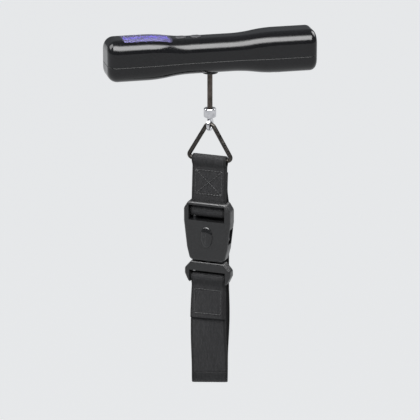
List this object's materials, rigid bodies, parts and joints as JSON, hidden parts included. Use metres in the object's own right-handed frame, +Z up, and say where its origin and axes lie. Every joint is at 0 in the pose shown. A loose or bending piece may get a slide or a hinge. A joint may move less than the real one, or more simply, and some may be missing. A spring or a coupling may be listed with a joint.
{
  "type": "digital luggage scale",
  "caption": "Bar-handle hanging scale with a display, a load cell inside, a swivelling triangle ring and a webbing strap closed by a side-release buckle.",
  "frame": {"origin": "centre of the bar handle, where the hand closes", "axes": "+Z up, X along the bar with the display at -X, front at -Y"},
  "size_m": [0.145, 0.0287, 0.2525],
  "materials": {
    "shell": "high-gloss black moulding",
    "window": "clear tinted acrylic",
    "lcd": "violet-blue display",
    "backlight": "diffusing",
    "elastomer": "striped elastomer",
    "board": "solder mask",
    "epoxy": "encapsulation",
    "spring_steel": "plated",
    "screw_steel": "zinc plated",
    "cell_aluminium": "milled",
    "gauge_film": "foil on film",
    "dark_steel": "blackened",
    "soft_black": "soft",
    "cell_steel": "nickel",
    "inner_plastic": "moulded",
    "lead_insulation": "flexible",
    "button": "satin",
    "chrome": "polished",
    "gunmetal": "dark nickel",
    "webbing": "woven",
    "buckle": "semi-gloss moulding"
  },
  "bodies": {
    "handle": {"upper_shell": "shell", "lower_shell": "shell", "display_window": "window", "lcd_panel": "lcd", "lcd_backlight": "backlight", "lcd_connectors": "elastomer", "circuit_board": "board", "controller_chip": "epoxy", "dome_switches": "spring_steel", "board_screws": "screw_steel", "load_cell": "cell_aluminium", "strain_gauges": "gauge_film", "load_cell_plate": "screw_steel", "load_cell_screws": "screw_steel", "pull_stem": "dark_steel", "stem_nut": "screw_steel", "stem_bushing": "soft_black", "case_screws": "screw_steel", "battery_cell": "cell_steel", "battery_tray": "inner_plastic", "battery_contacts": "spring_steel", "battery_leads": "lead_insulation", "sensor_leads": "lead_insulation"},
    "power": {"power_button": "button"},
    "unit": {"unit_button": "button"},
    "door": {"battery_door": "shell"},
    "swivel": {"swivel_barrel": "chrome", "swivel_eye": "chrome"},
    "ring": {"triangle_ring": "gunmetal"},
    "strap": {"webbing_top": "webbing", "webbing_rear": "webbing", "buckle_female": "buckle"},
    "male_half": {"buckle_male": "buckle", "webbing_fold": "webbing", "webbing_front": "webbing"},
    "left_prong": {"prong_left": "buckle"},
    "right_prong": {"prong_right": "buckle"}
  },
  "joints": [
    {"name": "power_press", "type": "slide", "parent": "handle", "child": "power", "axis": [0, 0, -1], "range_m": [0, 0.0005], "stiffness_N_per_m": 1500},
    {"name": "unit_press", "type": "slide", "parent": "handle", "child": "unit", "axis": [0, 0, -1], "range_m": [0, 0.0005], "stiffness_N_per_m": 1500},
    {"name": "door_slide", "type": "slide", "parent": "handle", "child": "door", "axis": [1, 0, 0], "range_m": [0, 0.03]},
    {"name": "swivel_spin", "type": "hinge", "parent": "handle", "child": "swivel", "pos_m": [0, 0, -0.045], "axis": [0, 0, 1], "continuous": true},
    {"name": "ring_swing", "type": "hinge", "parent": "swivel", "child": "ring", "pos_m": [0, 0, -0.0502], "axis": [0.8387, -0.5446, 0], "range_deg": [-60, 60]},
    {"name": "strap_swing", "type": "hinge", "parent": "ring", "child": "strap", "pos_m": [0, 0, -0.075], "axis": [0.8387, -0.5446, 0], "range_deg": [-45, 45]},
    {"name": "buckle_release", "type": "slide", "parent": "strap", "child": "male_half", "axis": [0, 0, -1], "range_m": [0, 0.024], "deforming": ["webbing_front", "prong_left", "prong_right"]},
    {"name": "squeeze_left", "type": "hinge", "parent": "male_half", "child": "left_prong", "pos_m": [-0.00662, 0.00192, -0.1479], "axis": [0.5446, 0.8387, 0], "range_deg": [0, 9], "stiffness_Nm_per_rad": 0.02},
    {"name": "squeeze_right", "type": "hinge", "parent": "male_half", "child": "right_prong", "pos_m": [0.00445, -0.00527, -0.1479], "axis": [0.5446, 0.8387, 0], "range_deg": [-9, 0], "stiffness_Nm_per_rad": 0.02}
  ],
  "couplings": [
    {"joint": "squeeze_right", "follows": "squeeze_left", "ratio": -1}
  ]
}
